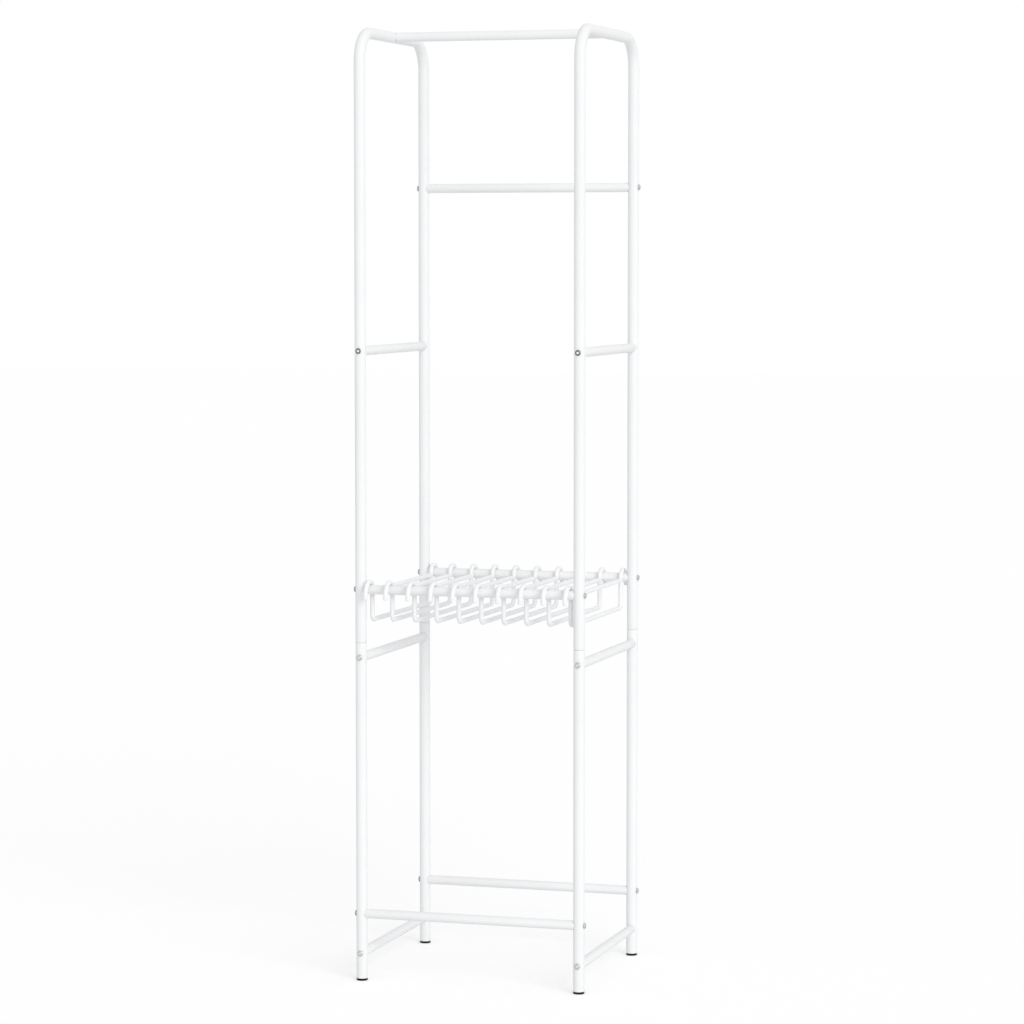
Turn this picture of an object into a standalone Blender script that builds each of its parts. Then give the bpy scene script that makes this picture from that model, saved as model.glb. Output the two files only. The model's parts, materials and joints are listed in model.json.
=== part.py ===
"""A freestanding clothing rack of bolted steel tube, with rod trouser hangers that slide on two tubes.

Units are metres and +Z is up. X runs along the rails, and the front of the rack faces -Y.
The origin is on the floor, in the middle of the rack's footprint.
"""

from math import cos, pi, radians, sin

import bmesh
import bpy
from mathutils import Matrix, Vector

# Overall frame, on the centre lines of the tubes unless it says otherwise
POST_SPACING_X = 0.382
POST_SPACING_Y = 0.340
FRAME_HEIGHT = 1.608  # floor to the top of the side frames
BEND_RADIUS = 0.050
POST_SEAM_Z = 0.576  # where a frame leg stands on its lower post

# Heights of the rails and bars, from the level that each is set out from
REAR_RAIL_BELOW_TOP = 0.2545
UPPER_BAR_BELOW_TOP = 0.5315
HANGER_TUBE_ABOVE_SEAM = 0.090
MIDDLE_BAR_BELOW_SEAM = 0.025
BOTTOM_RAIL_Z = 0.1145
LOW_BAR_Z = 0.047

# Tubes
POST_DIAMETER = 0.019
POST_WALL = 0.0012
BAR_DIAMETER = 0.016
BAR_WALL = 0.001
PEG_LENGTH = 0.022  # the stub on a side frame that the top rail slides over
CONNECTOR_WALL = 0.0015
CONNECTOR_REACH_UP = 0.045
CONNECTOR_BELOW_BOLT = 0.018

# Bolts, of 6 mm thread
BOLT_DIAMETER = 0.006
BOLT_HEAD_DIAMETER = 0.010
BOLT_HEAD_HEIGHT = 0.0022
BOLT_RIM_HEIGHT = 0.0006
BOLT_CROWN_DIAMETER = 0.0054  # the flat middle of the domed head
BOLT_ENGAGEMENT = 0.0105  # how far the thread runs into a bar's end plug
SOCKET_ACROSS_FLATS = 0.004
SOCKET_DEPTH = 0.0016
PLUG_SPARE_LENGTH = 0.0015

# Feet
FOOT_HEIGHT = 0.0035  # the band that shows under the post
FOOT_EDGE = 0.0014
FOOT_STEM_LENGTH = 0.016

# Trouser hangers
HANGER_COUNT = 10
HANGER_ROD = 0.008
HOOK_FLAT = 0.003  # the level top of a hook, outside the tube's centre line
HOOK_BEND = 0.020  # radius of the bend from the level top to the tail
HOOK_TAIL = 0.0085  # the straight end below that bend
HANGER_DROP = 0.052  # tube centre line to the lower rod
HANGER_CORNER = 0.010
UPPER_ROD_DROP = 0.004
LEFT_HANGER_GAP = 0.0025  # between the left end hanger and its posts
RIGHT_HANGER_GAP = 0.0045
LEFT_HANGER_TUCK = 0.0038  # how far the left end hanger stands in from its even place
RIGHT_HANGER_TUCK = 0.0013

# Clearances
SEAT_GAP = 0.0003  # between pieces that touch
SLIP_GAP = 0.0003  # round a sleeve, stem or peg inside a tube
BOLT_HOLE_GAP = 0.0004
HOOK_GAP = 0.0005

# Facets
POST_SIDES = 16
BAR_SIDES = 12
ROD_SIDES = 8
BOLT_SIDES = 10
BEND_STEPS = 6
HOOK_STEPS = 4
CORNER_STEPS = 3
SMOOTH_ANGLE = radians(40)
WELD_DISTANCE = 0.000001

# Worked out from the values above
HALF_X = POST_SPACING_X / 2
HALF_Y = POST_SPACING_Y / 2
POST_RADIUS = POST_DIAMETER / 2
POST_BORE = POST_RADIUS - POST_WALL
BAR_RADIUS = BAR_DIAMETER / 2
BAR_BORE = BAR_RADIUS - BAR_WALL
BOLT_RADIUS = BOLT_DIAMETER / 2
BOLT_HOLE = BOLT_RADIUS + BOLT_HOLE_GAP
ROD_RADIUS = HANGER_ROD / 2
SLIP_RADIUS = POST_BORE - SLIP_GAP
TOP_Z = FRAME_HEIGHT - POST_RADIUS
REAR_RAIL_Z = TOP_Z - REAR_RAIL_BELOW_TOP
UPPER_BAR_Z = TOP_Z - UPPER_BAR_BELOW_TOP
HANGER_TUBE_Z = POST_SEAM_Z + HANGER_TUBE_ABOVE_SEAM
MIDDLE_BAR_Z = POST_SEAM_Z - MIDDLE_BAR_BELOW_SEAM
BAR_END = POST_RADIUS + SEAT_GAP  # a bar stops this far from its post's axis
BOLT_SHANK = 2 * BAR_END + BOLT_ENGAGEMENT
PLUG_LENGTH = BOLT_ENGAGEMENT + PLUG_SPARE_LENGTH
HOOK_RADIUS = BAR_RADIUS + HOOK_GAP + ROD_RADIUS

SIDES = {"left": -1, "right": 1}
ENDS = {"front": -1, "rear": 1}
X = Vector((1, 0, 0))
Y = Vector((0, 1, 0))
Z = Vector((0, 0, 1))


def clear_scene():
    for item in list(bpy.data.objects):
        bpy.data.objects.remove(item, do_unlink=True)


def make_material(name, colour, roughness, metallic):
    material = bpy.data.materials.new(name)
    material.use_nodes = True
    shader = material.node_tree.nodes["Principled BSDF"]
    shader.inputs["Base Color"].default_value = (*colour, 1)
    shader.inputs["Roughness"].default_value = roughness
    shader.inputs["Metallic"].default_value = metallic
    return material


def arc(centre, radius, start, end, steps):
    """Points (y, z) round an arc, with angles in degrees from +Y towards +Z."""
    points = []
    for step in range(steps + 1):
        angle = radians(start + (end - start) * step / steps)
        points.append((centre[0] + radius * cos(angle), centre[1] + radius * sin(angle)))
    return points


def rod(radius, start, end, sides):
    """A solid cylinder between two points."""
    shape = bmesh.new()
    along = Vector(end) - Vector(start)
    turn = Z.rotation_difference(along).to_matrix().to_4x4()
    middle = Matrix.Translation((Vector(start) + Vector(end)) / 2)
    bmesh.ops.create_cone(shape, cap_ends=True, segments=sides, radius1=radius, radius2=radius,
                          depth=along.length, matrix=middle @ turn)
    return shape


def turned(profile, sides, closed):
    """A solid turned about Z from (radius, height) points. An open profile starts and ends on the axis."""
    shape = bmesh.new()
    points = [shape.verts.new((radius, 0, height)) for radius, height in profile]
    following = points[1:] + points[:1] if closed else points[1:]
    edges = [shape.edges.new(pair) for pair in zip(points, following)]
    bmesh.ops.spin(shape, geom=points + edges, cent=(0, 0, 0), axis=Z, angle=2 * pi, steps=sides,
                   use_merge=True)
    bmesh.ops.remove_doubles(shape, verts=shape.verts, dist=WELD_DISTANCE)
    bmesh.ops.recalc_face_normals(shape, faces=shape.faces)
    return shape


def swept(path, radius, sides, wall=None):
    """A round rod along (y, z) points at x = 0, or a tube where it has a wall."""
    shape = bmesh.new()
    points = [Vector((0, y, z)) for y, z in path]
    skins = []
    for skin_radius in [radius] if wall is None else [radius, radius - wall]:
        rings = []
        for index, point in enumerate(points):
            arriving = point - points[max(index - 1, 0)]
            leaving = points[min(index + 1, len(points) - 1)] - point
            across = X.cross(arriving.normalized() + leaving.normalized()).normalized()
            ring = []
            for side in range(sides):
                angle = 2 * pi * side / sides
                ring.append(shape.verts.new(point + skin_radius * (cos(angle) * X + sin(angle) * across)))
            rings.append(ring)
        for ring, following in zip(rings, rings[1:]):
            for side in range(sides):
                after = (side + 1) % sides
                shape.faces.new((ring[side], ring[after], following[after], following[side]))
        skins.append(rings)
    for end in (0, -1):
        if wall is None:
            shape.faces.new(skins[0][end])
            continue
        for side in range(sides):
            after = (side + 1) % sides
            outer, inner = skins[0][end], skins[1][end]
            shape.faces.new((outer[side], outer[after], inner[after], inner[side]))
    bmesh.ops.recalc_face_normals(shape, faces=shape.faces)
    return shape


def scratch_object(shapes):
    """A hidden object that holds the given shapes, which are used up."""
    mesh = bpy.data.meshes.new("scratch")
    joined = bmesh.new()
    for shape in shapes:
        shape.to_mesh(mesh)
        shape.free()
        joined.from_mesh(mesh)
    joined.to_mesh(mesh)
    joined.free()
    scratch = bpy.data.objects.new("scratch", mesh)
    scratch.hide_render = True
    scratch.display_type = "WIRE"
    bpy.context.collection.objects.link(scratch)
    return scratch


def make_mesh(name, material, shape, joins=(), cuts=()):
    """The mesh of one piece: a shape, with others welded on and then others cut away."""
    body = scratch_object([shape])
    tools = []
    for operation, shapes in (("UNION", joins), ("DIFFERENCE", cuts)):
        if shapes:
            modifier = body.modifiers.new(operation, "BOOLEAN")
            modifier.operation = operation
            modifier.solver = "MANIFOLD"
            modifier.object = scratch_object(shapes)
            tools.append(modifier.object)
    mesh = bpy.data.meshes.new_from_object(body.evaluated_get(bpy.context.evaluated_depsgraph_get()))
    mesh.name = name
    mesh.materials.clear()
    mesh.materials.append(material)
    mesh.shade_smooth()
    mesh.set_sharp_from_angle(angle=SMOOTH_ANGLE)
    for scratch in [body, *tools]:
        bpy.data.objects.remove(scratch, do_unlink=True)
    return mesh


def place(name, mesh, location, outward=Z):
    """A named piece whose own Z axis points outward."""
    piece = bpy.data.objects.new(name, mesh)
    piece.location = location
    piece.rotation_euler = Z.rotation_difference(outward).to_euler()
    bpy.context.collection.objects.link(piece)
    return piece


def bolt_hole(centre, axis):
    """The cutter of a bolt hole right through a post."""
    reach = axis * POST_DIAMETER
    return rod(BOLT_HOLE, centre - reach, centre + reach, BAR_SIDES)


def upper_frame(side, material):
    """A side frame at x = 0: one bent tube, with the peg of the top rail and the bolt holes of its legs."""
    leg_bottom = POST_SEAM_Z + SEAT_GAP / 2
    bend_z = TOP_Z - BEND_RADIUS
    bend_y = HALF_Y - BEND_RADIUS
    path = [
        (-HALF_Y, leg_bottom),
        *arc((-bend_y, bend_z), BEND_RADIUS, 180, 90, BEND_STEPS),
        *arc((bend_y, bend_z), BEND_RADIUS, 90, 0, BEND_STEPS),
        (HALF_Y, leg_bottom),
    ]
    inward = -SIDES[side] * X
    top_middle = TOP_Z * Z
    peg_start = top_middle + inward * POST_BORE / 2
    peg_end = top_middle + inward * (POST_RADIUS + PEG_LENGTH)
    peg = rod(BAR_BORE - SLIP_GAP, peg_start, peg_end, BAR_SIDES)
    holes = [bolt_hole(HALF_Y * Y + REAR_RAIL_Z * Z, X)]
    for leg in ENDS.values():
        holes.append(bolt_hole(leg * HALF_Y * Y + HANGER_TUBE_Z * Z, X))
        holes.append(bolt_hole(leg * HALF_Y * Y + UPPER_BAR_Z * Z, Y))
    tube = swept(path, POST_RADIUS, POST_SIDES, POST_WALL)
    return make_mesh(f"{side}_upper_frame", material, tube, joins=[peg], cuts=holes)


def lower_post(material):
    """A lower post on its own axis, open at both ends, with the bolt holes of its three bars."""
    bottom = FOOT_HEIGHT + SEAT_GAP
    top = POST_SEAM_Z - SEAT_GAP / 2
    outline = [(POST_RADIUS, top), (POST_RADIUS, bottom), (POST_BORE, bottom), (POST_BORE, top)]
    holes = [bolt_hole(BOTTOM_RAIL_Z * Z, X), bolt_hole(LOW_BAR_Z * Z, Y), bolt_hole(MIDDLE_BAR_Z * Z, Y)]
    return make_mesh("lower_post", material, turned(outline, POST_SIDES, closed=True), cuts=holes)


def post_connector(material):
    """The sleeve inside a post's seam. The middle side bar's bolt passes through it and holds it."""
    bottom = MIDDLE_BAR_Z - CONNECTOR_BELOW_BOLT
    top = POST_SEAM_Z + CONNECTOR_REACH_UP
    bore = SLIP_RADIUS - CONNECTOR_WALL
    outline = [(SLIP_RADIUS, top), (SLIP_RADIUS, bottom), (bore, bottom), (bore, top)]
    sleeve = turned(outline, POST_SIDES, closed=True)
    return make_mesh("post_connector", material, sleeve, cuts=[bolt_hole(MIDDLE_BAR_Z * Z, Y)])


def foot(material):
    """A foot plug: a band under the post with a rounded lower edge, and a stem in the post's bore."""
    stem_top = FOOT_HEIGHT + FOOT_STEM_LENGTH
    outline = [
        (0, stem_top),
        (SLIP_RADIUS, stem_top),
        (SLIP_RADIUS, FOOT_HEIGHT),
        (POST_RADIUS, FOOT_HEIGHT),
        (POST_RADIUS, FOOT_EDGE),
        (POST_RADIUS - FOOT_EDGE, 0),
        (0, 0),
    ]
    return make_mesh("foot", material, turned(outline, POST_SIDES, closed=False))


def copes(half, axis):
    """The cutters that fit the ends of a bar along X to the two tubes it meets, which run along axis."""
    reach = axis * BAR_DIAMETER
    return [rod(BAR_END, end * half * X - reach, end * half * X + reach, POST_SIDES) for end in (-1, 1)]


def bolted_bar(name, span, material):
    """A bar along X between two posts: its ends are coped to them, and closed by threaded plugs."""
    half = span / 2
    plug = half - BAR_END - PLUG_LENGTH
    outline = [
        (BAR_RADIUS, half),
        (BAR_RADIUS, -half),
        (BOLT_HOLE, -half),
        (BOLT_HOLE, -plug),
        (BAR_BORE, -plug),
        (BAR_BORE, plug),
        (BOLT_HOLE, plug),
        (BOLT_HOLE, half),
    ]
    tube = turned(outline, BAR_SIDES, closed=True)
    tube.transform(Matrix.Rotation(pi / 2, 4, "Y"))
    return make_mesh(name, material, tube, cuts=copes(half, Z))


def top_rail(material):
    """The top rail: an open tube along X, coped to the side frames, whose pegs it slides over."""
    outline = [(BAR_RADIUS, HALF_X), (BAR_RADIUS, -HALF_X), (BAR_BORE, -HALF_X), (BAR_BORE, HALF_X)]
    tube = turned(outline, BAR_SIDES, closed=True)
    tube.transform(Matrix.Rotation(pi / 2, 4, "Y"))
    return make_mesh("top_rail", material, tube, cuts=copes(HALF_X, Y))


def bolt(material):
    """A button head bolt with a hexagon socket. Its head stands on z = 0 and its shank runs down."""
    head = BOLT_HEAD_DIAMETER / 2
    crown = BOLT_CROWN_DIAMETER / 2
    dome_z = (BOLT_RIM_HEIGHT + 2 * BOLT_HEAD_HEIGHT) / 3
    outline = [
        (0, BOLT_HEAD_HEIGHT),
        (crown, BOLT_HEAD_HEIGHT),
        ((head + crown) / 2, dome_z),
        (head, BOLT_RIM_HEIGHT),
        (head, 0),
        (BOLT_RADIUS, 0),
        (BOLT_RADIUS, -BOLT_SHANK),
        (0, -BOLT_SHANK),
    ]
    socket_floor = (BOLT_HEAD_HEIGHT - SOCKET_DEPTH) * Z
    socket_top = (BOLT_HEAD_HEIGHT + SOCKET_DEPTH) * Z
    socket = rod(SOCKET_ACROSS_FLATS / 2 / cos(pi / 6), socket_floor, socket_top, 6)
    return make_mesh("bolt", material, turned(outline, BOLT_SIDES, closed=False), cuts=[socket])


def trouser_hanger(material):
    """A rod loop with a hook over each hanger tube, and a straight upper rod welded across the loop."""
    inner = HALF_Y - HOOK_RADIUS
    bend_y = HALF_Y + HOOK_FLAT
    bend_z = HOOK_RADIUS - HOOK_BEND
    tail_y = bend_y + HOOK_BEND
    tail_end = bend_z - HOOK_TAIL
    corner_y = inner - HANGER_CORNER
    corner_z = HANGER_CORNER - HANGER_DROP
    path = [
        (-tail_y, tail_end),
        *arc((-bend_y, bend_z), HOOK_BEND, 180, 90, HOOK_STEPS),
        *arc((-HALF_Y, 0), HOOK_RADIUS, 90, 0, HOOK_STEPS),
        *arc((-corner_y, corner_z), HANGER_CORNER, 180, 270, CORNER_STEPS),
        *arc((corner_y, corner_z), HANGER_CORNER, 270, 360, CORNER_STEPS),
        *arc((HALF_Y, 0), HOOK_RADIUS, 180, 90, HOOK_STEPS),
        *arc((bend_y, bend_z), HOOK_BEND, 90, 0, HOOK_STEPS),
        (tail_y, tail_end),
    ]
    level = -UPPER_ROD_DROP * Z
    upper_rod = rod(ROD_RADIUS, level - inner * Y, level + inner * Y, ROD_SIDES)
    return make_mesh("trouser_hanger", material, swept(path, ROD_RADIUS, ROD_SIDES), joins=[upper_rod])


def hanger_places():
    """The hangers' x, at an even pitch, with the end ones standing in from their even places."""
    clear = HALF_X - POST_RADIUS - ROD_RADIUS
    left = LEFT_HANGER_GAP - clear
    right = clear - RIGHT_HANGER_GAP
    start = left - LEFT_HANGER_TUCK
    pitch = (right + RIGHT_HANGER_TUCK - start) / (HANGER_COUNT - 1)
    between = [start + pitch * count for count in range(1, HANGER_COUNT - 1)]
    return [left, *between, right]


def build_posts(paint, steel, black):
    """The side frames, and a lower post, connector and foot under each frame leg."""
    post_mesh = lower_post(paint)
    connector_mesh = post_connector(steel)
    foot_mesh = foot(black)
    for side, x in SIDES.items():
        place(f"{side}_upper_frame", upper_frame(side, paint), x * HALF_X * X)
        for end, y in ENDS.items():
            axis = x * HALF_X * X + y * HALF_Y * Y
            place(f"{end}_{side}_lower_post", post_mesh, axis)
            place(f"{end}_{side}_post_connector", connector_mesh, axis)
            place(f"{end}_{side}_foot", foot_mesh, axis)


def build_rails(paint, bolt_mesh):
    """The rails along X, with a bolt through the post at each end of all but the top rail."""
    place("top_rail", top_rail(paint), TOP_Z * Z)
    rail_mesh = bolted_bar("rail", POST_SPACING_X, paint)
    rails = {
        "rear_upper_rail": ("rear", REAR_RAIL_Z),
        "front_hanger_tube": ("front", HANGER_TUBE_Z),
        "rear_hanger_tube": ("rear", HANGER_TUBE_Z),
        "front_bottom_rail": ("front", BOTTOM_RAIL_Z),
        "rear_bottom_rail": ("rear", BOTTOM_RAIL_Z),
    }
    for name, (end, z) in rails.items():
        middle = ENDS[end] * HALF_Y * Y + z * Z
        place(name, rail_mesh, middle)
        for side, x in SIDES.items():
            place(f"{name}_{side}_bolt", bolt_mesh, middle + x * (HALF_X + BAR_END) * X, outward=x * X)


def build_side_bars(paint, bolt_mesh):
    """The side bars along Y, with a bolt through the post at each end."""
    bar_mesh = bolted_bar("side_bar", POST_SPACING_Y, paint)
    bar_mesh.transform(Matrix.Rotation(pi / 2, 4, "Z"))
    levels = {"upper": UPPER_BAR_Z, "middle": MIDDLE_BAR_Z, "low": LOW_BAR_Z}
    for side, x in SIDES.items():
        for level, z in levels.items():
            name = f"{side}_{level}_side_bar"
            middle = x * HALF_X * X + z * Z
            place(name, bar_mesh, middle)
            for end, y in ENDS.items():
                place(f"{name}_{end}_bolt", bolt_mesh, middle + y * (HALF_Y + BAR_END) * Y, outward=y * Y)


def build_hangers(coat):
    """The trouser hangers, each with its origin midway between the tubes that it slides along."""
    hanger_mesh = trouser_hanger(coat)
    for number, x in enumerate(hanger_places(), start=1):
        place(f"trouser_hanger_{number:02d}", hanger_mesh, x * X + HANGER_TUBE_Z * Z)


def main():
    clear_scene()
    paint = make_material("white_powder_coat", (0.86, 0.86, 0.85), 0.38, 0)
    rod_coat = make_material("white_coated_rod", (0.84, 0.84, 0.83), 0.34, 0)
    black = make_material("black_plastic", (0.02, 0.02, 0.02), 0.55, 0)
    zinc = make_material("zinc_plated_bolt", (0.55, 0.55, 0.56), 0.3, 1)
    steel = make_material("bare_steel_sleeve", (0.48, 0.48, 0.49), 0.4, 1)
    bolt_mesh = bolt(zinc)
    build_posts(paint, steel, black)
    build_rails(paint, bolt_mesh)
    build_side_bars(paint, bolt_mesh)
    build_hangers(rod_coat)


main()
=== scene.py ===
"""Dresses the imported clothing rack: smooth coated tubes and rods, plated bolts and moulded feet.

Units are metres and +Z is up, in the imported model's frame. X runs along the rails, and the front faces -Y.
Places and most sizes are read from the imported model's boxes. The others are the named values below.
"""

import json
from math import cos, pi, radians, sin, sqrt

import bmesh
import bpy
from mathutils import Matrix, Vector

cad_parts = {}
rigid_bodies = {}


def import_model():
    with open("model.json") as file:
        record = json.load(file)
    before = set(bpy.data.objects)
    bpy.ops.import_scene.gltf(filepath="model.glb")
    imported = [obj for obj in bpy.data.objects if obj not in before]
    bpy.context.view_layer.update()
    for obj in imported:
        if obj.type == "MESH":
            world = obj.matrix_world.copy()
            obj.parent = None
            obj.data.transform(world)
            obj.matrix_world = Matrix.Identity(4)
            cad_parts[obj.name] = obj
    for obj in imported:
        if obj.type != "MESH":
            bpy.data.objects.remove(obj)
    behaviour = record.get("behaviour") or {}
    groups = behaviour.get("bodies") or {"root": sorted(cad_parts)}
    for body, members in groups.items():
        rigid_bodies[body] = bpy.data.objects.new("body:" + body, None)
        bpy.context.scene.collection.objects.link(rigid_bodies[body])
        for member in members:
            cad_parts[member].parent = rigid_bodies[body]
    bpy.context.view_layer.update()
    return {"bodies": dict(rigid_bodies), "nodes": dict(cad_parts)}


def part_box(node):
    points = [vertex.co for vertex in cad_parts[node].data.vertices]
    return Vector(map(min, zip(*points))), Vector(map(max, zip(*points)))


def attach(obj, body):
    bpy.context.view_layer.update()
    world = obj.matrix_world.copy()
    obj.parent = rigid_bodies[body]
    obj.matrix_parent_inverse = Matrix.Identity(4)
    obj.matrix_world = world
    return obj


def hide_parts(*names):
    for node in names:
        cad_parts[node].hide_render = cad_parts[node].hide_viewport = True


# Camera, fitted to the photograph's 1024 x 1024 frame
CAMERA_PLACE = (1.7718, -5.7404, 1.2274)
CAMERA_TURN = radians(16.943)
CAMERA_DIP = radians(4.178)
CAMERA_LENS = 123.71  # millimetres, as the sensor is
CAMERA_SENSOR = 36

# Bolts
BOLT_SHANK = 0.003  # radius
BOLT_TIP = 0.001  # chamfer at the end of the shank
BOLT_RIM = 0.0006
BOLT_CROWN = 0.0027  # radius of the flat round the socket
BOLT_HOLE_GAP = 0.0004
BOLT_HOLE = BOLT_SHANK + BOLT_HOLE_GAP  # radius
SOCKET_FLATS = 0.004
SOCKET_DEPTH = 0.0016
SOCKET_CHAMFER = 0.00025
UNDER_HEAD_ROUND = 0.0002

# Tubes and bars
POST_WALL = 0.0012
BEND_RADIUS = 0.050
RIM_ROUND = 0.0005  # the rounded rim of a tube's end
COPE_ROUND = 0.0004  # the rounded edge of a bar's hollowed end
PLUG_DEPTH = 0.0125  # depth of the bolt hole in a bar's end
HOLE_BAND = 0.0045  # half height of the band of small faces round a bolt hole
PEG_LENGTH = 0.022
PEG_ROOT = 0.005  # where the peg starts inside its tube, from the tube's axis
PEG_GAP = 0.0003
RAIL_WALL = 0.001

# Feet
FOOT_EDGE = 0.0014  # radius of the lower edge
FOOT_LIP_ROUND = 0.0004  # radius of the edge under the post

# Trouser hangers
HOOK_GAP = 0.0005
HOOK_BEND = 0.020  # radius of the bend from a hook's level top to its tail
HOOK_TAIL = 0.0085  # the straight end below that bend
HANGER_CORNER = 0.010
UPPER_ROD_DROP = 0.004
TIP_ROUND = 0.0022  # the rounded end of a hook's tail

# Finishes: tones are a dark and a light colour, gloss is the least and the most roughness, a noise is
# (cells per metre, detail), and relief is the depth of a bump
NOISE_MIDDLE = (0.3, 0.7)  # the range that most of a noise lies in
PAINT_TONES = ((0.852, 0.860, 0.867), (0.875, 0.883, 0.889))
PAINT_GLOSS = (0.42, 0.52)
PAINT_RIPPLE = (1100, 2)
ROD_TONES = ((0.868, 0.876, 0.885), (0.890, 0.898, 0.905))
ROD_GLOSS = (0.38, 0.48)
ROD_RIPPLE = (900, 2)
COAT_DRIFT = (14, 4)
COAT_PATCHES = (90, 3)
COAT_RELIEF = 0.00002
COAT_SHINE = 0.15  # the white coat's reflection, where 0.5 is plain gloss paint
METAL_MOTTLE = (700, 4)
METAL_PATCHES = (1500, 3)
METAL_RELIEF = 0.000004
MARKS_WANDER = 0.4  # how far the rings that turning leaves stray from round
MARKS_DETAIL = 2
STEEL_TONES = ((0.42, 0.42, 0.43), (0.52, 0.52, 0.53))
STEEL_GLOSS = (0.34, 0.48)
STEEL_MARKS = 400  # scale of the turned rings
PLATE_GLOSS = (0.24, 0.38)
PLATE_MARKS = 900
PLASTIC_TONES = ((0.008, 0.008, 0.008), (0.016, 0.016, 0.016))
PLASTIC_GLOSS = (0.40, 0.54)
PLASTIC_MOTTLE = (300, 3)
PLASTIC_PATCHES = (900, 2)
PLASTIC_GRAIN = (4000, 2)
PLASTIC_RELIEF = 0.00003
PLASTIC_SHINE = 0.12  # the feet's reflection, on the same scale as COAT_SHINE

# The plate on bolt heads, as bands of (share of the head's radius, grey): painted reflection, a bright
# middle and a dark ring for the light and shade that the dome reflects
PALE_PLATE_PAINTED_REFLECTION = [(0.0, 0.86), (0.36, 0.82), (0.48, 0.57), (0.84, 0.55), (1.0, 0.52)]
# A more shaded copy of the same plate, with a deeper painted reflection
DARK_PLATE_PAINTED_REFLECTION = [(0.0, 0.94), (0.38, 0.90), (0.49, 0.17), (0.84, 0.16), (1.0, 0.50)]
PAINTED_BAND_WANDER = 0.03  # how far the painted reflection bands' edges stray, as a share of the radius

# Faces
TUBE_SIDES = 48
ROD_SIDES = 32
BOLT_SIDES = 48
BEND_STEPS = 20
HOOK_STEPS = 12
ROUND_STEPS = 4
DOME_STEPS = 8
COPE_RINGS = 4
SMOOTH_ANGLE = radians(35)

# Stage
FLOOR_SIZE = 60
FLOOR_COLOUR = (0.90, 0.90, 0.90)
FLOOR_LIFT = 0.204  # added to the lit floor so that it reads as white
WORLD_LIGHT = 0.745
KEY_LIGHT = 1.21
KEY_SPREAD = radians(40)
KEY_TURN = radians(44)  # from the front towards +X
KEY_HEIGHT = radians(20)

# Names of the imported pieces, with the way that a side or an end lies from the middle
SIDES = {"left": -1, "right": 1}
ENDS = {"front": -1, "rear": 1}
RAILS = ("rear_upper_rail", "front_hanger_tube", "rear_hanger_tube", "front_bottom_rail", "rear_bottom_rail")
LEVELS = ("upper", "middle", "low")

X = Vector((1, 0, 0))
Y = Vector((0, 1, 0))
Z = Vector((0, 0, 1))

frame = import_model()


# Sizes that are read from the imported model

def size_of(node):
    low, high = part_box(node)
    return high - low


def middle_of(node):
    low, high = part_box(node)
    return (low + high) / 2


POST_RADIUS = size_of("front_left_lower_post").x / 2
BAR_RADIUS = size_of("top_rail").z / 2
ROD_RADIUS = size_of("trouser_hanger_01").x / 2
HALF_X = middle_of("front_right_lower_post").x
HALF_Y = middle_of("rear_right_lower_post").y
TOP_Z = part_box("left_upper_frame")[1].z - POST_RADIUS
SEAT_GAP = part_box("left_upper_frame")[0].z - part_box("front_left_lower_post")[1].z
BAR_END = POST_RADIUS + SEAT_GAP  # a bar stops this far from its post's axis
BOLT_LENGTH = size_of("front_bottom_rail_left_bolt").x
BOLT_HEAD = size_of("front_bottom_rail_left_bolt").z / 2
BOLT_HEAD_HEIGHT = -HALF_X - BAR_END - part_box("front_bottom_rail_left_bolt")[0].x


# Mesh building

def circle(radius, sides, centre=Vector(), first=X, second=Y):
    """Points round a circle that lies in the plane of two directions."""
    turns = [2 * pi * side / sides for side in range(sides)]
    return [centre + radius * (cos(turn) * first + sin(turn) * second) for turn in turns]


def quarter_round(radius, steps):
    """(in, along) offsets of a rounded edge, from its flat end to its full width."""
    turns = [pi / 2 * step / steps for step in range(steps + 1)]
    return [(radius * (1 - sin(turn)), radius * (1 - cos(turn))) for turn in turns]


def loft(rings, looped=False):
    """A closed skin through rings of points.

    A ring of one point is a pole, and a looped skin joins its ends.
    """
    shape = bmesh.new()
    made = [[shape.verts.new(point) for point in ring] for ring in rings]
    pairs = list(zip(made, made[1:]))
    if looped:
        pairs.append((made[-1], made[0]))
    for ring, following in pairs:
        sides = max(len(ring), len(following))
        for side in range(sides):
            after = (side + 1) % sides
            corners = [ring[side % len(ring)], ring[after % len(ring)],
                       following[after % len(following)], following[side % len(following)]]
            shape.faces.new(list(dict.fromkeys(corners)))
    if not looped:
        for ring in (made[0], made[-1]):
            if len(ring) > 1:
                shape.faces.new(ring)
    bmesh.ops.recalc_face_normals(shape, faces=shape.faces)
    return shape


def turned(profile, sides):
    """A solid turned about Z from (radius, height) points. A radius of zero makes a pole."""
    rings = [circle(radius, sides, height * Z) if radius else [height * Z] for radius, height in profile]
    return loft(rings)


def arc(centre, radius, start, end, steps):
    """Points (y, z) round an arc, with angles in degrees from +Y towards +Z."""
    turns = [radians(start + (end - start) * step / steps) for step in range(steps + 1)]
    return [(centre[0] + radius * cos(turn), centre[1] + radius * sin(turn)) for turn in turns]


def swept_rings(stations, sides):
    """Rings along a path of (y, z, radius) stations at x = 0."""
    points = [Vector((0, y, z)) for y, z, radius in stations]
    rings = []
    for index, (point, station) in enumerate(zip(points, stations)):
        before = points[max(index - 1, 0)]
        after = points[min(index + 1, len(points) - 1)]
        if index and index < len(points) - 1:
            along = (point - before).normalized() + (after - point).normalized()
        else:
            along = after - before
        across = X.cross(along).normalized()
        rings.append(circle(station[2], sides, point, X, across))
    return rings


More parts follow.
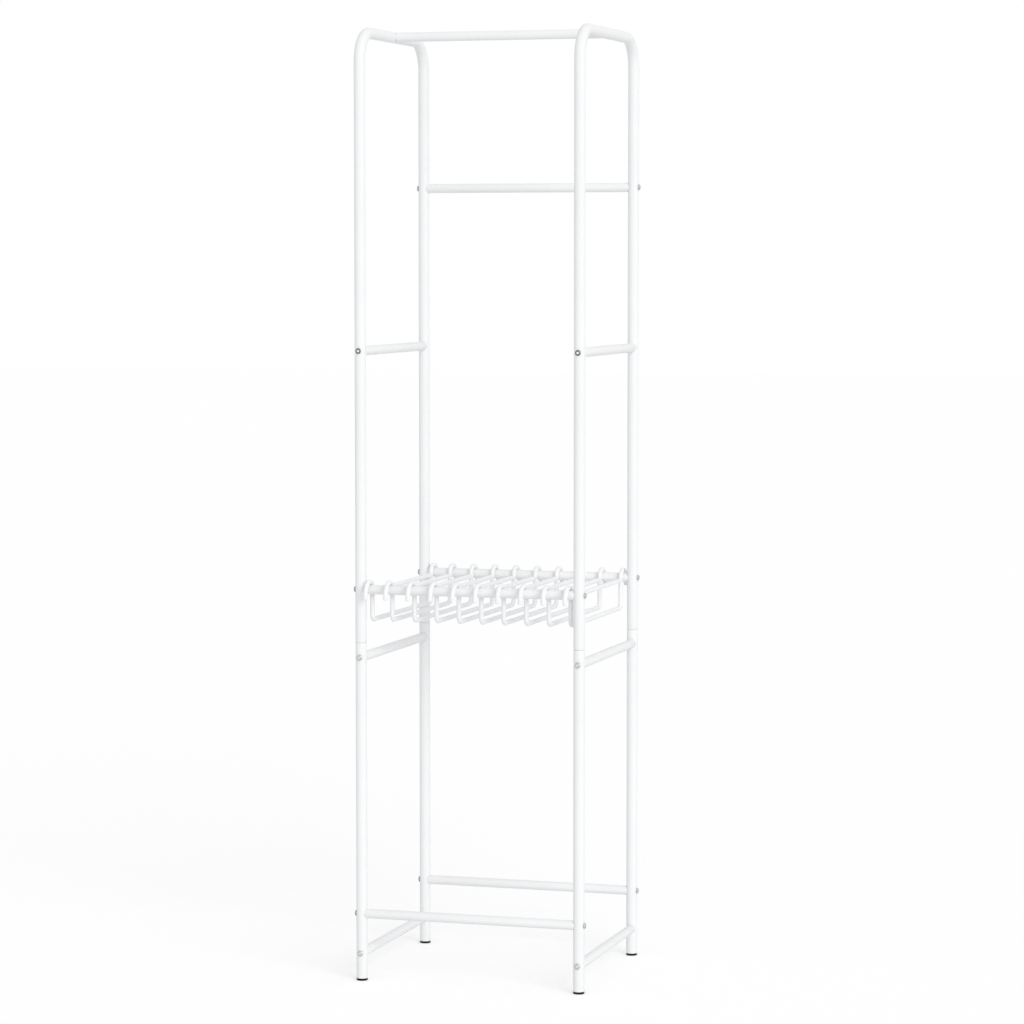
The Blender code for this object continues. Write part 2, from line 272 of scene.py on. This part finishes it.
def joined_mesh(name, shape, joins=(), cuts=()):
    """The mesh of a shape, with other shapes welded on and then others cut away."""
    def hidden(source):
        mesh = bpy.data.meshes.new("scratch")
        source.to_mesh(mesh)
        source.free()
        made = bpy.data.objects.new("scratch", mesh)
        bpy.context.scene.collection.objects.link(made)
        return made

    body = hidden(shape)
    tools = []
    for operation, shapes in (("UNION", joins), ("DIFFERENCE", cuts)):
        for tool_shape in shapes:
            modifier = body.modifiers.new(operation, "BOOLEAN")
            modifier.operation = operation
            modifier.solver = "MANIFOLD"
            modifier.object = hidden(tool_shape)
            tools.append(modifier.object)
    mesh = bpy.data.meshes.new_from_object(body.evaluated_get(bpy.context.evaluated_depsgraph_get()))
    mesh.name = name
    mesh.materials.clear()
    mesh.shade_smooth()
    mesh.set_sharp_from_angle(angle=SMOOTH_ANGLE)
    for scratch in [body, *tools]:
        bpy.data.objects.remove(scratch, do_unlink=True)
    return mesh


def add_piece(node, mesh, material, place=Vector(), turn=None, body="frame"):
    """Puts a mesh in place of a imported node, on its body."""
    piece = bpy.data.objects.new(f"{node}_finish", mesh)
    piece.matrix_world = Matrix.Translation(place) @ (turn or Matrix.Identity(4))
    bpy.context.scene.collection.objects.link(piece)
    if not mesh.materials:
        mesh.materials.append(material)
    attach(piece, body)
    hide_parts(node)


# Pieces

def bolt_hole(centre, axis):
    """The cutter of a bolt hole right through a post."""
    ends = [centre + way * 2 * POST_RADIUS * axis for way in (-1, 1)]
    return loft([circle(BOLT_HOLE, ROD_SIDES, end, Z, axis.cross(Z)) for end in ends])


def hole_heights(bolts):
    """Heights of the bolts' centres, from low to high."""
    return sorted({middle_of(bolt_node).z for bolt_node in bolts})


def tube_stations(low, bolts):
    """(height, radius) up a straight tube from its rounded lower rim, banded at its holes."""
    rim = quarter_round(RIM_ROUND, ROUND_STEPS)
    stations = [(low + along, POST_RADIUS - inward) for inward, along in rim]
    for height in hole_heights(bolts):
        stations += [(height - HOLE_BAND, POST_RADIUS), (height + HOLE_BAND, POST_RADIUS)]
    return stations


def leg_bolts(end, side):
    """The bolts through one frame leg, with the axis of each."""
    found = {f"{end}_hanger_tube_{side}_bolt": X, f"{side}_upper_side_bar_{end}_bolt": Y}
    if end == "rear":
        found[f"rear_upper_rail_{side}_bolt"] = X
    return found


def upper_frame(side):
    """One bent tube with the top rail's peg on its inner side, at x = 0."""
    leg_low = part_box(f"{side}_upper_frame")[0].z
    bend_z = TOP_Z - BEND_RADIUS
    bend_y = HALF_Y - BEND_RADIUS
    legs = {}
    holes = []
    for end, way in ENDS.items():
        bolts = leg_bolts(end, side)
        legs[end] = [(way * HALF_Y, z, radius) for z, radius in tube_stations(leg_low, bolts)]
        for bolt_node, axis in bolts.items():
            holes.append(bolt_hole(Vector((0, way * HALF_Y, middle_of(bolt_node).z)), axis))
    bends = arc((-bend_y, bend_z), BEND_RADIUS, 180, 90, BEND_STEPS)
    bends += arc((bend_y, bend_z), BEND_RADIUS, 90, 0, BEND_STEPS)
    outer = legs["front"] + [(y, z, POST_RADIUS) for y, z in bends] + legs["rear"][::-1]
    bore = POST_RADIUS - POST_WALL
    inner = [(-HALF_Y, leg_low, bore), *[(y, z, bore) for y, z in bends], (HALF_Y, leg_low, bore)]
    tube = loft(swept_rings(outer, TUBE_SIDES) + swept_rings(inner, TUBE_SIDES)[::-1], looped=True)
    inward = -SIDES[side]
    peg_radius = BAR_RADIUS - RAIL_WALL - PEG_GAP
    peg_ends = (inward * PEG_ROOT, inward * (POST_RADIUS + PEG_LENGTH))
    peg = loft([circle(peg_radius, ROD_SIDES, TOP_Z * Z + reach * X, Y, Z) for reach in peg_ends])
    return joined_mesh(f"{side}_upper_frame_finish", tube, joins=[peg], cuts=holes)


def lower_post():
    """A straight tube on its own axis, open at both ends, with rounded rims and its bolt holes."""
    low, high = (corner.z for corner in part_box("front_left_lower_post"))
    bolts = {
        "front_bottom_rail_left_bolt": X,
        "left_low_side_bar_front_bolt": Y,
        "left_middle_side_bar_front_bolt": Y,
    }
    upper_rim = quarter_round(RIM_ROUND, ROUND_STEPS)[::-1]
    stations = tube_stations(low, bolts)
    stations += [(high - along, POST_RADIUS - inward) for inward, along in upper_rim]
    bore = POST_RADIUS - POST_WALL
    profile = stations + [(high, bore), (low, bore)]
    tube = loft([circle(radius, TUBE_SIDES, z * Z) for z, radius in profile], looped=True)
    holes = [bolt_hole(middle_of(bolt_node).z * Z, axis) for bolt_node, axis in bolts.items()]
    return joined_mesh("lower_post_finish", tube, cuts=holes)


def coped_bar(name, half, hole, depth):
    """A bar along X between two tubes along Z, with its ends hollowed to fit them and a hole in each."""
    turns = [2 * pi * side / TUBE_SIDES for side in range(TUBE_SIDES)]

    def end_of(radius, turn):
        return half - sqrt(BAR_END ** 2 - (radius * sin(turn)) ** 2)

    def point_at(x, radius, turn):
        return Vector((x, radius * sin(turn), radius * cos(turn)))

    def end_ring(radius, back=0):
        return [point_at(back - end_of(radius, turn), radius, turn) for turn in turns]

    widths = [hole + (BAR_RADIUS - COPE_ROUND - hole) * step / COPE_RINGS for step in range(COPE_RINGS + 1)]
    rounded = [(BAR_RADIUS - inward, along) for inward, along in quarter_round(COPE_ROUND, ROUND_STEPS)][1:]
    floor = half - BAR_END - depth
    half_rings = [[-floor * X], [point_at(-floor, hole, turn) for turn in turns]]
    half_rings += [end_ring(width) for width in widths]
    half_rings += [end_ring(width, along) for width, along in rounded]
    mirror = Matrix.Scale(-1, 4, X)
    other_half = [[mirror @ point for point in half_ring] for half_ring in half_rings[::-1]]
    return joined_mesh(name, loft(half_rings + other_half))


def bolt(name):
    """A button head bolt on its own axis: its head, with a six-sided socket, stands on z = 0."""
    def socket_ring(height, flats):
        sixth = pi / 3
        points = []
        for side in range(BOLT_SIDES):
            turn = 2 * pi * side / BOLT_SIDES
            from_flat = (turn + sixth / 2) % sixth - sixth / 2
            points.append(flats / 2 / cos(from_flat) * (cos(turn) * X + sin(turn) * Y) + height * Z)
        return points

    top = BOLT_HEAD_HEIGHT
    floor = top - SOCKET_DEPTH
    rings = [[floor * Z], socket_ring(floor, SOCKET_FLATS), socket_ring(top - SOCKET_CHAMFER, SOCKET_FLATS),
             socket_ring(top, SOCKET_FLATS + 2 * SOCKET_CHAMFER), circle(BOLT_CROWN, BOLT_SIDES, top * Z)]
    for step in range(1, DOME_STEPS + 1):
        turn = pi / 2 * step / DOME_STEPS
        radius = BOLT_CROWN + (BOLT_HEAD - BOLT_CROWN) * sin(turn)
        rings.append(circle(radius, BOLT_SIDES, (BOLT_RIM + (top - BOLT_RIM) * cos(turn)) * Z))
    shank_end = BOLT_LENGTH - BOLT_HEAD_HEIGHT
    below = [(BOLT_HEAD, UNDER_HEAD_ROUND), (BOLT_HEAD - UNDER_HEAD_ROUND, 0), (BOLT_SHANK, 0),
             (BOLT_SHANK, BOLT_TIP - shank_end), (BOLT_SHANK - BOLT_TIP, -shank_end)]
    rings += [circle(radius, BOLT_SIDES, height * Z) for radius, height in below]
    return joined_mesh(name, loft(rings + [[-shank_end * Z]]))


def foot():
    """A moulded foot plug on its own axis: a band with a round lower edge, and a stem in the post's bore."""
    low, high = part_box("front_left_foot")
    band = (high.x - low.x) / 2
    band_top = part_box("front_left_lower_post")[0].z - SEAT_GAP
    stem = POST_RADIUS - POST_WALL - SEAT_GAP
    edge = [(band - inward, along) for inward, along in quarter_round(FOOT_EDGE, DOME_STEPS)]
    lip = quarter_round(FOOT_LIP_ROUND, ROUND_STEPS)[::-1]
    rim = [(band - inward, band_top - along) for inward, along in lip]
    plug = [(stem, band_top), (stem, high.z - FOOT_EDGE), (stem - FOOT_EDGE, high.z), (0, high.z)]
    return joined_mesh("foot_finish", turned([(0, 0), *edge, *rim, *plug], TUBE_SIDES))


def trouser_hanger():
    """A rod bent to a loop with two hooks, and an upper rod welded across. z = 0 is the tubes' height."""
    tube_z = middle_of("front_hanger_tube").z
    low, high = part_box("trouser_hanger_01")
    hook = BAR_RADIUS + HOOK_GAP + ROD_RADIUS
    inner = HALF_Y - hook
    tail_y = high.y - ROD_RADIUS
    bend_y = tail_y - HOOK_BEND
    bend_z = hook - HOOK_BEND
    tail_end = bend_z - HOOK_TAIL
    bottom = low.z + ROD_RADIUS - tube_z
    corner_y = inner - HANGER_CORNER
    corner_z = bottom + HANGER_CORNER
    path = arc((-bend_y, bend_z), HOOK_BEND, 180, 90, HOOK_STEPS)
    path += arc((-HALF_Y, 0), hook, 90, 0, HOOK_STEPS)
    path += arc((-corner_y, corner_z), HANGER_CORNER, 180, 270, HOOK_STEPS)
    tip = quarter_round(TIP_ROUND, ROUND_STEPS)
    stations = [(-tail_y, tail_end + along, ROD_RADIUS - inward) for inward, along in tip]
    stations += [(y, z, ROD_RADIUS) for y, z in path]
    stations += [(-y, z, radius) for y, z, radius in stations[::-1]]
    ends = [way * inner * Y - UPPER_ROD_DROP * Z for way in (-1, 1)]
    upper = loft([circle(ROD_RADIUS, ROD_SIDES, end, X, Z) for end in ends])
    return joined_mesh("trouser_hanger_finish", loft(swept_rings(stations, ROD_SIDES)), joins=[upper])


# Materials

def add_node(tree, kind, inputs=None, **settings):
    """A shader node with its settings, and with its inputs set or linked."""
    made = tree.nodes.new(kind)
    for key, value in settings.items():
        setattr(made, key, value)
    for key, value in (inputs or {}).items():
        if isinstance(value, bpy.types.NodeSocket):
            tree.links.new(value, made.inputs[key])
        else:
            made.inputs[key].default_value = value
    return made


def noise(tree, place, scale, detail):
    values = {"Vector": place, "Scale": scale, "Detail": detail}
    return add_node(tree, "ShaderNodeTexNoise", values).outputs["Fac"]


def spread(tree, value, low, high):
    """Maps the middle of a noise to a range of values."""
    start, end = NOISE_MIDDLE
    values = {"Value": value, "From Min": start, "From Max": end, "To Min": low, "To Max": high}
    return add_node(tree, "ShaderNodeMapRange", values).outputs["Result"]


def toned(tree, value, colours):
    """Maps the middle of a noise to the range between two colours."""
    ramp = add_node(tree, "ShaderNodeValToRGB", {"Fac": value})
    for element, position, colour in zip(ramp.color_ramp.elements, NOISE_MIDDLE, colours):
        element.position = position
        element.color = (*colour, 1)
    return ramp.outputs["Color"]


def new_material(name):
    """A material, with its node tree, its shader and the place on the piece that its noises read."""
    material = bpy.data.materials.new(name)
    material.use_nodes = True
    tree = material.node_tree
    place = add_node(tree, "ShaderNodeTexCoord").outputs["Object"]
    return material, tree, tree.nodes["Principled BSDF"], place


def bump(tree, shader, height, relief):
    values = {"Height": height, "Distance": relief, "Strength": 1.0}
    tree.links.new(add_node(tree, "ShaderNodeBump", values).outputs["Normal"], shader.inputs["Normal"])


def coat(name, tones, gloss, ripple):
    """White coat baked on steel: a slow drift of tone, uneven gloss and the fine ripple of flowed powder."""
    material, tree, shader, place = new_material(name)
    tree.links.new(toned(tree, noise(tree, place, *COAT_DRIFT), tones), shader.inputs["Base Color"])
    tree.links.new(spread(tree, noise(tree, place, *COAT_PATCHES), *gloss), shader.inputs["Roughness"])
    bump(tree, shader, noise(tree, place, *ripple), COAT_RELIEF)
    shader.inputs["Specular IOR Level"].default_value = COAT_SHINE
    return material


def turned_metal(name, gloss, marks):
    """Bare metal with uneven gloss and the faint rings that turning leaves, and no colour yet."""
    material, tree, shader, place = new_material(name)
    tree.links.new(spread(tree, noise(tree, place, *METAL_PATCHES), *gloss), shader.inputs["Roughness"])
    values = {"Vector": place, "Scale": marks, "Distortion": MARKS_WANDER, "Detail": MARKS_DETAIL}
    rings = add_node(tree, "ShaderNodeTexWave", values, wave_type="RINGS", rings_direction="Z")
    bump(tree, shader, rings.outputs["Fac"], METAL_RELIEF)
    shader.inputs["Metallic"].default_value = 1
    return material, tree, shader, place


def drawn_steel(name):
    """Plain steel with a mottled tone."""
    material, tree, shader, place = turned_metal(name, STEEL_GLOSS, STEEL_MARKS)
    tree.links.new(toned(tree, noise(tree, place, *METAL_MOTTLE), STEEL_TONES), shader.inputs["Base Color"])
    return material


def plate_with_painted_reflection(name, bands):
    """Plate on a bolt head, with painted reflection as (share of the head's radius, grey) bands whose edges
    are uneven.
    """
    material, tree, shader, place = turned_metal(name, PLATE_GLOSS, PLATE_MARKS)
    across = add_node(tree, "ShaderNodeVectorMath", {0: place, 1: (1, 1, 0)}, operation="MULTIPLY")
    reach = add_node(tree, "ShaderNodeVectorMath", {0: across.outputs[0]}, operation="LENGTH")
    wander = spread(tree, noise(tree, place, *METAL_MOTTLE), -PAINTED_BAND_WANDER, PAINTED_BAND_WANDER)
    values = {0: reach.outputs["Value"], 1: 1 / BOLT_HEAD, 2: wander}
    share = add_node(tree, "ShaderNodeMath", values, operation="MULTIPLY_ADD")
    # Painted reflection: the grey is set by the distance from the head's axis
    ramp = add_node(tree, "ShaderNodeValToRGB", {"Fac": share.outputs[0]})
    elements = ramp.color_ramp.elements
    for position, grey in bands[1:-1]:
        elements.new(position).color = (grey, grey, grey, 1)
    for element, (position, grey) in zip((elements[0], elements[-1]), (bands[0], bands[-1])):
        element.position = position
        element.color = (grey, grey, grey, 1)
    tree.links.new(ramp.outputs["Color"], shader.inputs["Base Color"])
    return material


def moulded(name):
    """Black plastic with the fine grain of a sparked mould."""
    material, tree, shader, place = new_material(name)
    mottle = noise(tree, place, *PLASTIC_MOTTLE)
    patches = noise(tree, place, *PLASTIC_PATCHES)
    tree.links.new(toned(tree, mottle, PLASTIC_TONES), shader.inputs["Base Color"])
    tree.links.new(spread(tree, patches, *PLASTIC_GLOSS), shader.inputs["Roughness"])
    bump(tree, shader, noise(tree, place, *PLASTIC_GRAIN), PLASTIC_RELIEF)
    shader.inputs["Specular IOR Level"].default_value = PLASTIC_SHINE
    return material


# Putting it together

def add_posts(paint, black):
    post_mesh = lower_post()
    foot_mesh = foot()
    for side, x in SIDES.items():
        add_piece(f"{side}_upper_frame", upper_frame(side), paint, x * HALF_X * X)
        for end, y in ENDS.items():
            axis = x * HALF_X * X + y * HALF_Y * Y
            add_piece(f"{end}_{side}_lower_post", post_mesh, paint, axis)
            add_piece(f"{end}_{side}_foot", foot_mesh, black, axis)


def add_bars(paint):
    rail_mesh = coped_bar("rail_finish", HALF_X, BOLT_HOLE, PLUG_DEPTH)
    bar_mesh = coped_bar("side_bar_finish", HALF_Y, BOLT_HOLE, PLUG_DEPTH)
    top_mesh = coped_bar("top_rail_finish", HALF_X, BAR_RADIUS - RAIL_WALL, PEG_LENGTH + PLUG_DEPTH)
    along_y = Matrix.Rotation(pi / 2, 4, "Z")
    coped_to_y = Matrix.Rotation(pi / 2, 4, "X")
    for rail in RAILS:
        add_piece(rail, rail_mesh, paint, middle_of(rail))
    for side in SIDES:
        for level in LEVELS:
            node = f"{side}_{level}_side_bar"
            add_piece(node, bar_mesh, paint, middle_of(node), along_y)
    add_piece("top_rail", top_mesh, paint, middle_of("top_rail"), coped_to_y)


def add_bolts(pale_painted_plate, shaded_painted_plate):
    """The bolts of the upper side bars take a darker copy of the plate, whose deeper painted reflection is
    painted shade.
    """
    pale_mesh = bolt("bolt_finish")
    dark_mesh = bolt("shaded_bolt_finish")
    seats = {f"{rail}_{side}_bolt": (x * X, HALF_X) for rail in RAILS for side, x in SIDES.items()}
    for side in SIDES:
        for level in LEVELS:
            for end, y in ENDS.items():
                seats[f"{side}_{level}_side_bar_{end}_bolt"] = (y * Y, HALF_Y)
    for node, (outward, half) in seats.items():
        middle = middle_of(node)
        seat = middle + outward * (half + BAR_END - abs(middle.dot(outward)))
        turn = Z.rotation_difference(outward).to_matrix().to_4x4()
        # Painted shade: the upper side bars' bolts take the more shaded copy of the plate
        mesh, plate = (dark_mesh, shaded_painted_plate) if "_upper_side_bar_" in node else (pale_mesh, pale_painted_plate)
        add_piece(node, mesh, plate, seat, turn)


def add_hangers(rod_coat):
    mesh = trouser_hanger()
    tube_z = middle_of("front_hanger_tube").z
    for body in frame["bodies"]:
        if body.startswith("trouser_hanger"):
            add_piece(body, mesh, rod_coat, middle_of(body).x * X + tube_z * Z, body=body)


def dress_sleeves(steel):
    """The sleeves inside the posts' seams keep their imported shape."""
    for end in ENDS:
        for side in SIDES:
            sleeve = frame["nodes"][f"{end}_{side}_post_connector"]
            sleeve.data.materials.clear()
            sleeve.data.materials.append(steel)


# Stage

def seen_directly(tree):
    """1 for rays that see a surface, also in a reflection, and 0 for the light that it sends on."""
    rays = add_node(tree, "ShaderNodeLightPath").outputs
    seen = rays["Is Camera Ray"]
    for kind in ("Is Glossy Ray", "Is Transmission Ray"):
        seen = add_node(tree, "ShaderNodeMath", {0: seen, 1: rays[kind]}, operation="MAXIMUM").outputs[0]
    return seen


def add_world():
    world = bpy.data.worlds.new("studio")
    world.use_nodes = True
    tree = world.node_tree
    values = {"Value": seen_directly(tree), "To Min": WORLD_LIGHT, "To Max": 1.0}
    strength = add_node(tree, "ShaderNodeMapRange", values).outputs["Result"]
    background = tree.nodes["Background"]
    background.inputs["Color"].default_value = (1, 1, 1, 1)
    tree.links.new(strength, background.inputs["Strength"])
    bpy.context.scene.world = world


def add_floor():
    """A plain floor that takes the shadow, lifted to white where it is seen."""
    shape = bmesh.new()
    bmesh.ops.create_grid(shape, x_segments=1, y_segments=1, size=FLOOR_SIZE / 2)
    mesh = bpy.data.meshes.new("floor")
    shape.to_mesh(mesh)
    shape.free()
    material = bpy.data.materials.new("floor")
    material.use_nodes = True
    tree = material.node_tree
    tree.nodes.remove(tree.nodes["Principled BSDF"])
    lit = add_node(tree, "ShaderNodeBsdfDiffuse", {"Color": (*FLOOR_COLOUR, 1)})
    lift = add_node(tree, "ShaderNodeMath", {0: seen_directly(tree), 1: FLOOR_LIFT}, operation="MULTIPLY")
    glow = add_node(tree, "ShaderNodeEmission", {"Strength": lift.outputs[0]})
    both = add_node(tree, "ShaderNodeAddShader", {0: lit.outputs[0], 1: glow.outputs[0]})
    tree.links.new(both.outputs[0], tree.nodes["Material Output"].inputs["Surface"])
    mesh.materials.append(material)
    floor = bpy.data.objects.new("floor", mesh)
    bpy.context.scene.collection.objects.link(floor)


def add_key_light():
    light = bpy.data.lights.new("key", "SUN")
    light.energy = KEY_LIGHT
    light.angle = KEY_SPREAD
    key = bpy.data.objects.new("key", light)
    level = cos(KEY_HEIGHT)
    towards = Vector((sin(KEY_TURN) * level, -cos(KEY_TURN) * level, sin(KEY_HEIGHT)))
    key.rotation_euler = towards.to_track_quat("Z", "Y").to_euler()
    bpy.context.scene.collection.objects.link(key)


def add_camera():
    data = bpy.data.cameras.new("camera")
    data.sensor_width = CAMERA_SENSOR
    data.lens = CAMERA_LENS
    camera = bpy.data.objects.new("camera", data)
    camera.location = CAMERA_PLACE
    camera.rotation_euler = (pi / 2 - CAMERA_DIP, 0, CAMERA_TURN)
    bpy.context.scene.collection.objects.link(camera)
    bpy.context.scene.camera = camera


def main():
    paint = coat("white_powder_coat", PAINT_TONES, PAINT_GLOSS, PAINT_RIPPLE)
    rod_coat = coat("white_rod_coat", ROD_TONES, ROD_GLOSS, ROD_RIPPLE)
    # Two copies of the zinc plate with painted reflection, the second one more shaded
    pale_painted_plate = plate_with_painted_reflection("zinc_bolt", PALE_PLATE_PAINTED_REFLECTION)
    shaded_painted_plate = plate_with_painted_reflection("shaded_zinc_bolt_painted_reflection", DARK_PLATE_PAINTED_REFLECTION)
    steel = drawn_steel("steel_sleeve")
    black = moulded("black_plastic")
    add_posts(paint, black)
    add_bars(paint)
    add_bolts(pale_painted_plate, shaded_painted_plate)
    add_hangers(rod_coat)
    dress_sleeves(steel)
    add_world()
    add_floor()
    add_key_light()
    add_camera()
    bpy.context.scene.view_settings.view_transform = "Standard"


main()
